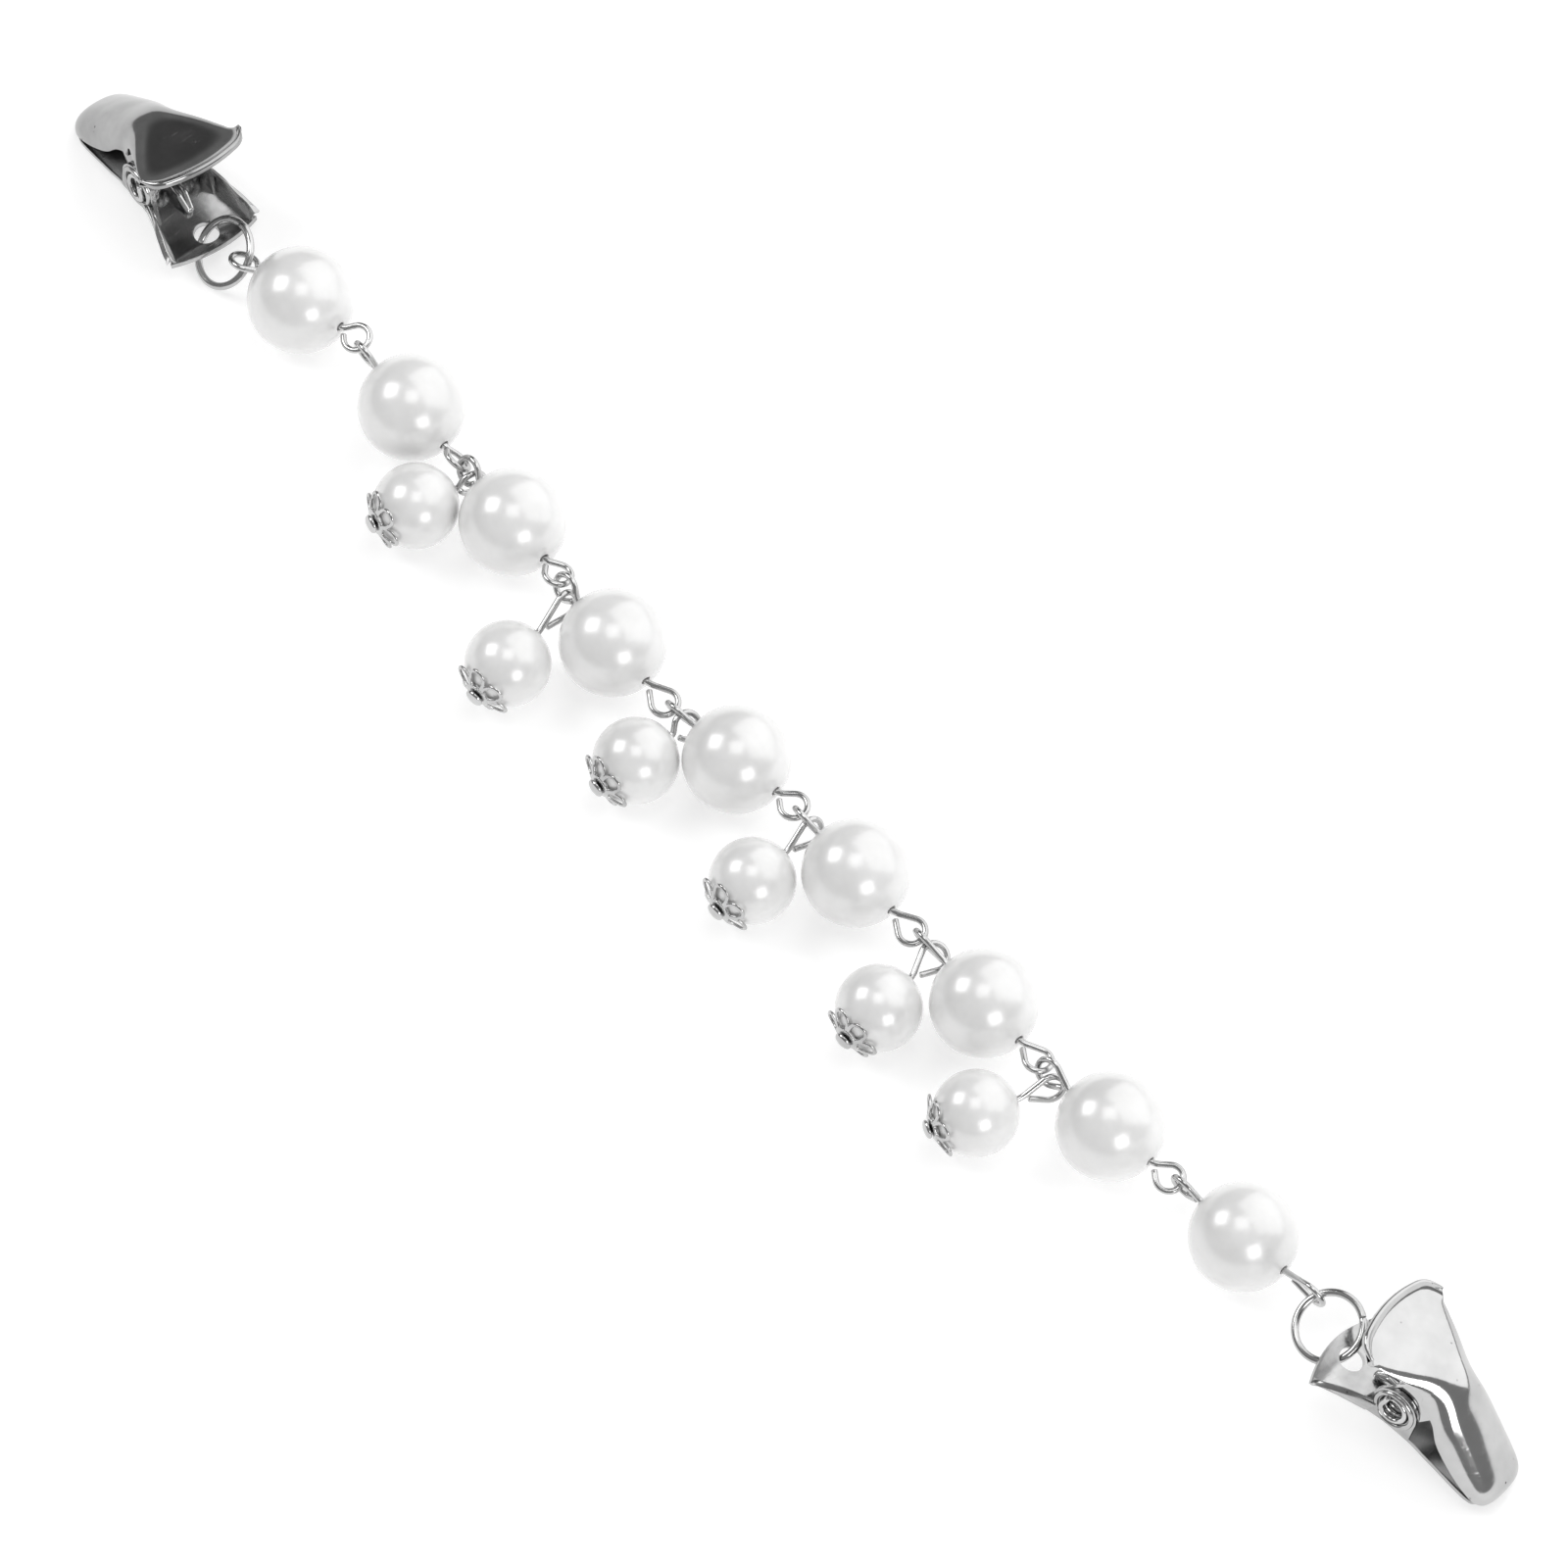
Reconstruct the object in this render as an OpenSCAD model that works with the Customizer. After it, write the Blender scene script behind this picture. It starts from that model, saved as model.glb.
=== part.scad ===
// Sweater clip: two sprung jaw clips joined by a strand of nine large pearls.
// Six small pearls with petal caps hang from the joints between the large ones.
// It lies on a table. X runs along the strand, the drops hang towards -Y.

/* [Pearls] */
// Diameter of a large pearl
pearl_d = 10; // [8:0.5:14]
// Diameter of a small drop pearl
drop_d = 8; // [6:0.5:10]
// Hole drilled through every pearl
hole_d = 1.0; // [0.8:0.1:1.4]

/* [Wire] */
// Wire of the eye pins and drop pins
wire_d = 0.6; // [0.5:0.05:0.8]
// Radius of a loop, to the middle of the wire
loop_r = 1.25; // [1.0:0.05:1.6]
// Space left where a loop closes on its own neck
neck_gap = 0.68; // [0.6:0.02:1.0]
// Diameter of the domed head under a drop
head_d = 1.8; // [1.4:0.1:2.4]
// Height of the domed head
head_h = 0.7; // [0.5:0.1:1.0]

/* [Bead cap] */
// Width of the cap, measured round the pearl
cap_angle = 84; // [60:2:110]
// Thickness of the cap's metal
cap_t = 0.4; // [0.3:0.05:0.6]
// Gap between cap and pearl
cap_gap = 0.06; // [0.05:0.01:0.2]
// Number of open petals
petals = 6; // [5:1:8]

/* [Jump rings] */
// Outer diameter of a jump ring
ring_d = 7.1; // [6:0.1:9]
// Wire of a jump ring
ring_wire = 0.75; // [0.6:0.05:1.0]

/* [Clip] */
// Sheet thickness of the base
base_t = 0.42; // [0.35:0.01:0.6]
// Sheet thickness of the lever
lever_t = 0.45; // [0.35:0.05:0.6]
// Hole in the base for the jump ring
ring_hole_d = 2.4; // [2:0.1:2.8]
// Outer radius of the base's hinge ears
base_ear_r = 2.4; // [2.2:0.1:3]
// Outer radius of the lever's hinge ears
lever_ear_r = 2.0; // [1.8:0.05:2.2]
// Bore of the hinge ears round the coil
ear_bore_d = 3.2; // [3:0.1:3.6]

/* [Spring] */
// Wire of the spring
spring_wire = 0.55; // [0.4:0.05:0.7]
// Outer diameter of the coil
coil_d = 2.9; // [2.6:0.1:3.1]
// Turns in each half of the coil
coil_turns = 5; // [3:1:7]

/* [Smoothness] */
// Segments round a pearl or ring
$fn = 48; // [24:4:96]
// Segments round a wire loop
loop_steps = 12; // [10:1:24]
// Segments in one turn of the coil
coil_steps = 12; // [8:1:20]

/* [Hidden] */
pearl_r = pearl_d / 2;
drop_r = drop_d / 2;
wire_r = wire_d / 2;
ring_r = (ring_d - ring_wire) / 2;
wire_sides = 6;
chrome = [0.78, 0.79, 0.81];
pearl_white = [0.95, 0.95, 0.94];

// Where a pin starts to open into its loop, from the middle of the pearl
pearl_neck = pearl_r + 0.3;
drop_neck = drop_r + 0.3;
// Segments round the holes for the pins
hole_fn = 24;

// Head of the drop pin: its play under the cap, and its dome's radius as a share of its width
head_play = 0.05;
head_dome = 0.6;
head_root = 0.3;

// Openings of the bead cap: in the petals, and between them at the rim
petal_hole_d = 1.15;
petal_place = 0.60;
rim_cut_d = 1.1;
rim_cut_past = 3;

// Blanks that the base is cut from: half width, lowest point and height
blank_y = 6;
blank_z = -8;
blank_h = 9;

// Fall of the wing's inner skin below its ridge, in sheet thicknesses
wing_fall = 1.5;
wing_foot = 0.35;

// Half of the spring: radius, pitch, where it starts from the middle of the clip,
// and x and z of its leg's top and foot, its way down and its bridge
coil_r = (coil_d - spring_wire) / 2;
coil_pitch = 0.62;
coil_out = 3.75;
leg_y = 3.85;
leg_top = [-1.95, 4.45];
leg_foot = [-1.35, 1.6];
way_down = [-2.2, -1.9];
bridge_at = [-3.55, -3.72];

// Moves the layout below so that its bounding box is centred on the origin
layout = [-0.40, 5.95, 0];

// Large pearls: x, y of the centre, turn of the pin from +X, rise of its far end,
// then reach and roll of the near loop, reach and roll of the far loop
pearls = [
    [-66.05, -1.70, 8, 6, 8.30, 100, 8.25, 15],
    [-50.50, -1.50, -3, -3, 8.25, 100, 8.20, -50],
    [-35.05, -2.45, -5, 2.5, 8.20, 60, 8.40, -15],
    [-19.30, -3.90, -3.5, -2, 8.40, 62, 9.05, 8],
    [-2.60, -3.45, 5, 2, 8.65, 108, 8.50, 5],
    [13.45, -3.05, -1, -1.5, 8.50, 108, 9.05, 10],
    [31.20, -3.25, -2, 1.5, 9.65, 104, 8.95, -12],
    [48.15, -3.05, 4.5, -2, 8.95, 62, 8.60, 12],
    [64.35, -1.55, 4.5, 2, 8.60, 98, 9.75, 96]
];

// Drops: x, y of the pearl, x, y, z of the loop's tip, roll of the loop,
// and the turn of the cap about the pin
drops = [
    [-42.65, -7.65, -41.10, -0.85, 3.45, 84, 0],
    [-24.35, -12.20, -25.60, -3.10, 4.50, 70, 20],
    [-8.95, -10.05, -8.60, -2.95, 4.05, 46, 10],
    [7.50, -10.30, 7.10, -1.80, 4.20, 67, 25],
    [24.95, -10.35, 24.25, -1.95, 4.30, 30, 0],
    [38.80, -10.90, 41.80, -3.00, 4.15, 66, 15]
];

// Jump rings: centre, then the direction that the ring's face looks in
rings = [
    [[-75.67, -2.91, 2.84], [-0.22, -0.64, 0.74]],
    [[76.16, -1.88, 4.97], [-0.02, -0.39, 0.92]]
];

// Clips: hinge centre, then turn, dip of the nose and roll
clips = [
    [[-85.05, -1.85, 4.93], [3.4, 19.1, 176.3]],
    [[86.35, -0.75, 6.62], [-13.4, 27.0, 5.4]]
];

function unit(v) = v / norm(v);
function reversed(list) = [for (i = [len(list) - 1 : -1 : 0]) list[i]];

// Part of v that is square to the direction d
function square_to(v, d) = unit(v - (v * d) * d);

// Direction of the path at each of its points
function tangents(path) = let (end = len(path) - 1) [
    for (i = [0 : end])
        let (from = i == 0 ? path[1] - path[0] : path[i] - path[i - 1],
            to = i == end ? from : path[i + 1] - path[i])
        unit(unit(from) + unit(to))
];

// Side vectors carried along the path without twisting
function carried(dirs, first) = [
    for (i = 0, side = square_to(first, dirs[0]);
        i < len(dirs);
        i = i + 1, side = i < len(dirs) ? square_to(side, dirs[i]) : side)
        side
];

// Rings of points round a wire, each square to the path where it stands
function wire_points(path, radius, sides, first) =
    let (dirs = tangents(path), side = carried(dirs, first))
    [
        for (i = [0 : len(path) - 1], k = [0 : sides - 1])
            path[i] + radius * (cos(360 * k / sides) * side[i]
                + sin(360 * k / sides) * cross(dirs[i], side[i]))
    ];

// Closed skin over rows of points
function skin_faces(rows, sides) = [
    [for (k = [sides - 1 : -1 : 0]) k],
    for (i = [0 : rows - 2], k = [0 : sides - 1])
        [i * sides + k, i * sides + (k + 1) % sides,
            (i + 1) * sides + (k + 1) % sides],
    for (i = [0 : rows - 2], k = [0 : sides - 1])
        [i * sides + k, (i + 1) * sides + (k + 1) % sides, (i + 1) * sides + k],
    [for (k = [0 : sides - 1]) (rows - 1) * sides + k]
];

module wire(path, radius, sides, first = [0.12, 0.31, 1]) {
    faces = skin_faces(len(path), sides);
    polyhedron(wire_points(path, radius, sides, first),
        [for (f = faces) reversed(f)], convexity = 6);
}

// Points of one loop along +X: from the pin to the neck, round the eye and back
function loop_path(reach, roll, neck, r = loop_r) =
    let (centre = reach - r,
        half = asin(r / (centre - neck)),
        stop = neck_gap / sin(min(2 * half, 90)),
        reach_back = sqrt(pow(centre - neck, 2) - r * r),
        side = [0, cos(roll), sin(roll)],
        sweep = 180 + 2 * half)
    [
        for (i = [0 : loop_steps])
            let (a = 90 + half - i * sweep / loop_steps)
            [centre + r * cos(a), 0, 0] + r * sin(a) * side,
        [neck, 0, 0] + (stop + 0.5 * (reach_back - stop)) * ([cos(half), 0, 0] - sin(half) * side),
        [neck, 0, 0] + stop * ([cos(half), 0, 0] - sin(half) * side)
    ];

// Mirrors a path to the other end of the pin
function flipped(path) = reversed([for (p = path) [-p[0], p[1], p[2]]]);

module pearl(d) {
    color(pearl_white)
    difference() {
        sphere(d = d);
        rotate([0, 90, 0]) cylinder(d = hole_d, h = d + 2, center = true, $fn = hole_fn);
    }
}

module eye_pin(p) {
    near = flipped(loop_path(p[4], p[5], pearl_neck));
    far = loop_path(p[6], p[7], pearl_neck);
    color(chrome)
    wire(concat(near, [[-pearl_neck, 0, 0], [0, 0, 0], [pearl_neck, 0, 0]], far),
        wire_r, wire_sides);
}

module drop_pin(reach, roll) {
    seat = drop_r + cap_gap + cap_t + head_play;
    color(chrome)
    union() {
        wire(concat([[-seat - head_root, 0, 0], [0, 0, 0], [drop_neck, 0, 0]],
            loop_path(reach, roll, drop_neck)), wire_r, wire_sides);
        // domed head
        translate([-seat, 0, 0])
        rotate([0, -90, 0])
        intersection() {
            translate([0, 0, head_h - head_d * head_dome]) sphere(r = head_d * head_dome);
            cylinder(d = head_d, h = head_h);
        }
    }
}

module bead_cap(turn) {
    inner = drop_r + cap_gap;
    outer = inner + cap_t;
    half = cap_angle / 2;
    rim_h = inner * cos(half);
    petal_at = half * petal_place;
    color(chrome)
    rotate([turn, 0, 0])
    rotate([0, -90, 0])
    difference() {
        intersection() {
            sphere(r = outer);
            translate([0, 0, rim_h]) cylinder(r = outer, h = outer);
        }
        sphere(r = inner);
        cylinder(d = hole_d, h = outer + 1, $fn = hole_fn);
        for (k = [0 : petals - 1]) rotate([0, 0, 360 * k / petals]) {
            rotate([0, petal_at, 0]) cylinder(d = petal_hole_d, h = outer + 1, $fn = hole_fn);
            rotate([0, half + rim_cut_past, 180 / petals])
                cylinder(d = rim_cut_d, h = outer + 1, $fn = hole_fn);
        }
    }
}

module jump_ring() {
    color(chrome)
    rotate_extrude() translate([ring_r, 0]) circle(d = ring_wire, $fn = 16);
}

// The clip is drawn with its hinge along Y through the origin and its nose along +X.

// Underside of the base from nose to tail: x, z
base_line = [
    [11.9, -1.00], [8.5, -1.10], [5.8, -1.30], [2.8, -1.85], [0.4, -2.57],
    [-0.95, -3.22], [-2.8, -4.30], [-4.6, -5.05], [-6.0, -5.35], [-7.8, -5.20]
];

// Edge of the base seen from above: x, half width
base_edge = [
    [11.9, 1.4], [11.5, 2.4], [10.9, 3.0], [10.0, 3.25], [8.1, 3.38], [5.2, 3.42], [3.3, 3.3],
    [-1.2, 3.3], [-3.2, 3.53], [-4.3, 3.78], [-5.6, 4.15], [-6.2, 4.9], [-6.65, 4.0],
    [-7.15, 2.7], [-7.45, 1.3]
];

// Hinge ears: y of both faces, and the foot that joins the round ear to the sheet, in x and z
base_ear_y = [2.95, 3.4];
base_ear_foot = [[3.1, -1.55], [2.3, 0.65], [-2.25, 0.8], [-2.3, -3.75], [-0.9, -2.95], [0.45, -2.3]];
lever_ear_y = [2.35, 2.8];
lever_ear_foot = [[-1.97, 0.3], [-0.6, 4.6], [0.6, 4.75], [2.9, 3.75], [1.98, -0.2]];

// Place of the hole for the jump ring
hole_x = -5.1;

// Extrudes an outline that is drawn in x and z from y0 to y1
module in_side_view(y0, y1) {
    translate([0, y1, 0]) rotate([90, 0, 0]) linear_extrude(y1 - y0) children();
}

// Pair of hinge ears
module ears(y, radius, foot) {
    for (s = [-1, 1])
        in_side_view(s > 0 ? y[0] : -y[1], s > 0 ? y[1] : -y[0])
        difference() {
            union() {
                circle(r = radius);
                polygon(foot);
            }
            circle(d = ear_bore_d);
        }
}

// Raised wing along each side of the tail, from the ear to the corner:
// x, then y and z of its foot, its ridge and its outer edge
wing_rows = [
    [-1.4, 3.10, -3.30, 3.50, -0.90, 3.80, -1.75],
    [-3.0, 3.30, -4.15, 3.85, -1.60, 4.25, -2.30],
    [-4.5, 3.60, -4.75, 4.20, -2.65, 4.75, -3.15],
    [-5.8, 3.95, -5.10, 4.60, -3.75, 5.15, -4.15],
    [-6.35, 4.05, -5.12, 4.60, -4.45, 5.25, -4.45]
];

module wing(side) {
    points = [for (w = wing_rows) each [
        [w[0], side * w[1], w[2]], [w[0], side * w[3], w[4]], [w[0], side * w[5], w[6]],
        [w[0], side * (w[5] - 0.05), w[6] - base_t],
        [w[0], side * (w[3] + 0.05), w[4] - wing_fall * base_t],
        [w[0], side * (w[1] + wing_foot), w[2]]]];
    skin = skin_faces(len(wing_rows), 6);
    end = 6 * (len(wing_rows) - 1);
    faces = concat([for (i = [1 : len(skin) - 2]) skin[i]],
        [[5, 4, 1, 0], [4, 3, 2, 1]],
        [[end, end + 1, end + 4, end + 5], [end + 1, end + 2, end + 3, end + 4]]);
    polyhedron(points, side < 0 ? faces : [for (f = faces) reversed(f)], convexity = 4);
}

module clip_base() {
    back = [for (p = base_line) [p[0], p[1] + base_t]];
    plan = concat(base_edge, [for (p = reversed(base_edge)) [p[0], -p[1]]]);
    color(chrome)
    union() {
        difference() {
            intersection() {
                in_side_view(-blank_y, blank_y) polygon(concat(base_line, reversed(back)));
                translate([0, 0, blank_z]) linear_extrude(blank_h) polygon(plan);
            }
            translate([hole_x, 0, blank_z - 1]) cylinder(d = ring_hole_d, h = blank_h);
        }
        ears(base_ear_y, base_ear_r, base_ear_foot);
        for (s = [-1, 1]) wing(s);
    }
}

// Rows of the lever's cover from nose to tail:
// x, half width, height of the side's lower edge, height of the side, crown, bow of the row
cover_rows = [
    [12.30, 1.00, -0.45, 0.35, 0.10, 0],
    [12.10, 2.00, -0.42, 0.75, 0.40, 0],
    [11.60, 2.80, -0.40, 1.00, 0.75, 0],
    [10.90, 3.22, -0.35, 1.10, 1.05, 0],
    [10.00, 3.38, -0.20, 1.20, 1.25, 0],
    [8.60, 3.45, 0.10, 1.45, 1.40, 0],
    [6.50, 3.50, 0.75, 1.70, 1.50, 0],
    [4.50, 3.50, 1.60, 1.75, 1.50, 0],
    [3.40, 3.40, 2.40, 1.50, 1.45, 0],
    [3.00, 3.02, 2.65, 1.50, 1.45, 0],
    [1.90, 3.00, 2.95, 1.70, 1.35, 0],
    [0.90, 3.00, 3.05, 1.90, 1.20, 0],
    [0.50, 3.10, 4.35, 0.75, 1.10, 0],
    [-0.50, 3.60, 4.65, 0.60, 0.90, 0],
    [-2.00, 4.15, 4.80, 0.55, 0.60, 0],
    [-3.50, 4.75, 4.70, 0.50, 0.20, 0.3],
    [-5.00, 5.20, 4.75, 0.50, -0.20, 0.8],
    [-5.90, 5.42, 5.00, 0.50, -0.35, 1.3],
    [-6.35, 5.50, 5.40, 0.50, -0.40, 1.5]
];
cover_cols = 14;

// A row of the cover, shrunk by t on every side for its inner face
function cover_row(r, t) =
    let (w = r[1] - t, h = max(r[3] - t, 0.05), roundness = 2 / 3.2)
    [
        for (k = [0 : cover_cols])
            let (a = -90 + 180 * k / cover_cols,
                s = sign(a) * pow(abs(sin(a)), roundness),
                c = pow(max(cos(a), 0), roundness))
            [r[0] - r[5] * (1 - s * s) - (r[0] > 11 ? t : 0), w * s,
                r[2] + h * c + r[4] * (1 - s * s) * (t > 0 ? 0.98 : 1)]
    ];

function grid_faces(rows, cols, at, back) = [
    for (i = [0 : rows - 2], k = [0 : cols - 2])
        let (p = at + i * cols + k, q = p + cols,
            one = [p, p + 1, q + 1], two = [p, q + 1, q])
        each back ? [reversed(one), reversed(two)] : [one, two]
];

module cover() {
    rows = len(cover_rows);
    cols = cover_cols + 1;
    outside = [for (r = cover_rows) each cover_row(r, 0)];
    inside = [for (r = cover_rows) each cover_row(r, lever_t)];
    total = rows * cols;
    left = [for (i = [0 : rows - 1]) i * cols];
    right = [for (i = [0 : rows - 1]) i * cols + cols - 1];
    polyhedron(concat(outside, inside), concat(
        grid_faces(rows, cols, 0, true),
        grid_faces(rows, cols, total, false),
        // sides
        [for (i = [0 : rows - 2]) each
            [[left[i + 1], left[i], left[i] + total],
            [left[i + 1], left[i] + total, left[i + 1] + total],
            [right[i], right[i + 1], right[i + 1] + total],
            [right[i], right[i + 1] + total, right[i] + total]]],
        // nose and tail
        [for (k = [0 : cols - 2]) each
            [[k, k + 1, k + 1 + total], [k, k + 1 + total, k + total]]],
        [for (k = [0 : cols - 2]) let (p = (rows - 1) * cols + k) each
            [[p + 1, p, p + total], [p + 1, p + total, p + 1 + total]]]
    ), convexity = 8);
}

module clip_lever() {
    color(chrome)
    union() {
        cover();
        ears(lever_ear_y, lever_ear_r, lever_ear_foot);
    }
}

// Half of the spring, from the outer leg through the coil to the middle of the bridge
function spring_half() =
    let (steps = coil_turns * coil_steps + round(coil_steps / 3),
        inner_y = coil_out - coil_pitch * steps / coil_steps)
    concat(
        [[leg_top[0], leg_y, leg_top[1]], [leg_foot[0], leg_y, leg_foot[1]]],
        [for (i = [0 : steps])
            let (a = 180 + 360 * i / coil_steps)
            [coil_r * cos(a), coil_out - coil_pitch * i / coil_steps, coil_r * sin(a)]],
        [[way_down[0], inner_y - 0.1, way_down[1]], [bridge_at[0], inner_y - 0.25, bridge_at[1]]]
    );

module clip_spring() {
    half = spring_half();
    whole = concat(half, [for (p = reversed(half)) [p[0], -p[1], p[2]]]);
    color(chrome) wire(whole, spring_wire / 2, wire_sides, [0, 1, 0.2]);
}

module at_pearl(i) {
    p = pearls[i - 1];
    translate(layout + [p[0], p[1], pearl_r]) rotate([0, -p[3], p[2]]) children();
}

// The pin of a drop points from its cap to the loop's tip
module at_drop(i) {
    d = drops[i - 1];
    v = [d[2] - d[0], d[3] - d[1], d[4] - drop_r];
    translate(layout + [d[0], d[1], drop_r])
    rotate([0, -asin(v[2] / norm(v)), atan2(v[1], v[0])]) children();
}

function drop_reach(d) = norm([d[2] - d[0], d[3] - d[1], d[4] - drop_r]);

module at_ring(i) {
    c = rings[i][0];
    n = unit(rings[i][1]);
    translate(layout + c) rotate([0, acos(n[2]), atan2(n[1], n[0])]) children();
}

module at_clip(i) {
    turn = clips[i][1];
    translate(layout + clips[i][0])
    rotate([0, 0, turn[2]]) rotate([0, turn[1], 0]) rotate([turn[0], 0, 0]) children();
}

for (i = [1 : len(pearls)]) {
    at_pearl(i) pearl(pearl_d);
    at_pearl(i) eye_pin(pearls[i - 1]);
}
for (i = [1 : len(drops)]) {
    at_drop(i) pearl(drop_d);
    at_drop(i) drop_pin(drop_reach(drops[i - 1]), drops[i - 1][5]);
    at_drop(i) bead_cap(drops[i - 1][6]);
}
at_ring(0) jump_ring();  // jump_ring_a
at_ring(1) jump_ring();  // jump_ring_b
at_clip(0) clip_base();  // clip_a_base
at_clip(0) clip_lever();  // clip_a_lever
at_clip(0) clip_spring();  // clip_a_spring
at_clip(1) clip_base();  // clip_b_base
at_clip(1) clip_lever();  // clip_b_lever
at_clip(1) clip_spring();  // clip_b_spring
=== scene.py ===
import math
import bmesh
import bpy
from mathutils import Matrix, Vector


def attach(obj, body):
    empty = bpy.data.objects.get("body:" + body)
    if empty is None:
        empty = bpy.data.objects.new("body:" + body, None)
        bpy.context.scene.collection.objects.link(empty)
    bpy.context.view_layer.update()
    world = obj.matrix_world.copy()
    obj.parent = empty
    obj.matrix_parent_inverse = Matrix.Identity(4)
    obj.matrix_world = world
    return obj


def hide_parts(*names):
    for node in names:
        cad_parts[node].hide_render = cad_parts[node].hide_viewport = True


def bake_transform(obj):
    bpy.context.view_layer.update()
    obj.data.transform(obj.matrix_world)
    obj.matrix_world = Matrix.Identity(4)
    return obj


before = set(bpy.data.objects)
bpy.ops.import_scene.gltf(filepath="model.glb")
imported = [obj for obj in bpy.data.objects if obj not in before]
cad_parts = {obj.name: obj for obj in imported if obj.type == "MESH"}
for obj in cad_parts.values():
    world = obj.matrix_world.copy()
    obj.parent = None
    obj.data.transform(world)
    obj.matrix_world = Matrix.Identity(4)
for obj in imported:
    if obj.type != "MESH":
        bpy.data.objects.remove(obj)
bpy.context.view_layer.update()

# Sweater clip: two sprung jaw clips joined by nine large pearls, with six small pearls hanging
# from the joints. Every shape below is drawn in millimetres and set down in metres.

layout = Vector((-0.40, 5.95, 0.0))  # shift that centres the strand, as in the frame


def turned(axis, degrees):
    return Matrix.Rotation(math.radians(degrees), 4, axis)


def setDown(point, heading, pitch, roll=0.0):
    return (Matrix.Translation(layout + Vector(point)) @ turned("Z", heading)
            @ turned("Y", pitch) @ turned("X", roll))


# Camera

cameraPlan = {
    "azimuth": 49.0,
    "elevation": 60.0,
    "aim": (-0.0004, 0.00595, 0.0),
    "frameWidth": 0.142857,  # metres across the picture at the strand
    "distance": 1.5,
    "sensor": 36.0,
}


def makeCamera(plan):
    around, above = math.radians(plan["azimuth"]), math.radians(plan["elevation"])
    back = Vector((math.sin(around) * math.cos(above), -math.cos(around) * math.cos(above),
                   math.sin(above)))
    data = bpy.data.cameras.new("photoCamera")
    data.sensor_width = plan["sensor"]
    data.lens = plan["sensor"] * plan["distance"] / plan["frameWidth"]
    data.clip_start, data.clip_end = 0.05, 10.0
    camera = bpy.data.objects.new("photoCamera", data)
    camera.location = Vector(plan["aim"]) + back * plan["distance"]
    camera.rotation_mode = "QUATERNION"
    camera.rotation_quaternion = (-back).to_track_quat("-Z", "Y")
    bpy.context.collection.objects.link(camera)
    bpy.context.scene.camera = camera


makeCamera(cameraPlan)
print("stage: camera set")


# Shader maths

class Signal:
    # A socket that can be reckoned with: 1 - mask adds the Math node for it
    def __init__(self, graph, socket):
        self.graph, self.socket = graph, socket

    def reckon(self, operation, first, second):
        return self.graph.node("ShaderNodeMath", {"operation": operation}, {0: first, 1: second})

    def __add__(self, other):
        return self.reckon("ADD", self, other)

    def __radd__(self, other):
        return self.reckon("ADD", other, self)

    def __sub__(self, other):
        return self.reckon("SUBTRACT", self, other)

    def __rsub__(self, other):
        return self.reckon("SUBTRACT", other, self)

    def __mul__(self, other):
        return self.reckon("MULTIPLY", self, other)

    def __rmul__(self, other):
        return self.reckon("MULTIPLY", other, self)


class Graph:
    def __init__(self, tree):
        self.tree = tree
        tree.nodes.clear()

    def node(self, kind, settings=None, inputs=None, output=0):
        made = self.tree.nodes.new(kind)
        for key, value in (settings or {}).items():
            if key == "stops":
                ramp = made.color_ramp.elements
                while len(ramp) < len(value):
                    ramp.new(0.5)
                for stop, (place, tone) in zip(ramp, value):
                    stop.position, stop.color = place, (tone, tone, tone, 1.0)
            else:
                setattr(made, key, value)
        for key, value in (inputs or {}).items():
            if isinstance(value, Signal):
                self.tree.links.new(value.socket, made.inputs[key])
            else:
                made.inputs[key].default_value = value
        return Signal(self, made.outputs[output])

    def mixed(self, factor, first, second):
        # Colours are blended by a Mix node
        return self.node("ShaderNodeMix", {"data_type": "RGBA"},
                         {0: factor, 6: first, 7: second}, 2)

    def ramp(self, value, stops):
        return self.node("ShaderNodeValToRGB", {"stops": stops}, {0: value})

    def finish(self, shader, kind="ShaderNodeOutputMaterial"):
        end = self.tree.nodes.new(kind)
        self.tree.links.new(shader.socket, end.inputs[0])


def grey(level, warmth=0.0):
    return (level, level * (1 - 0.4 * warmth), level * (1 - warmth), 1.0)


def newMaterial(name):
    made = bpy.data.materials.new(name)
    made.use_nodes = True
    return made, Graph(made.node_tree)


# Materials

pearlFinish = {
    "shell": grey(0.77, 0.010),
    "cloud": grey(0.84, 0.006),
    "cloudScale": 260.0,
    "skinScale": 1700.0,
    "roughness": 0.20,
    "coatRoughness": 0.25,
    "coatIor": 2.0,
    "skinDepth": 0.000002,
    "dimpleScale": 420.0,
    "dimpleDepth": 0.000010,
}

metalPattern = {
    "driftScale": 240.0,
    "grainTurn": (0.2, 0.3, 0.9),
    "grainScale": (5200.0, 320.0, 5200.0),
    "speckScale": 620.0,
    "speckRoughness": 0.3,
}

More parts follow.
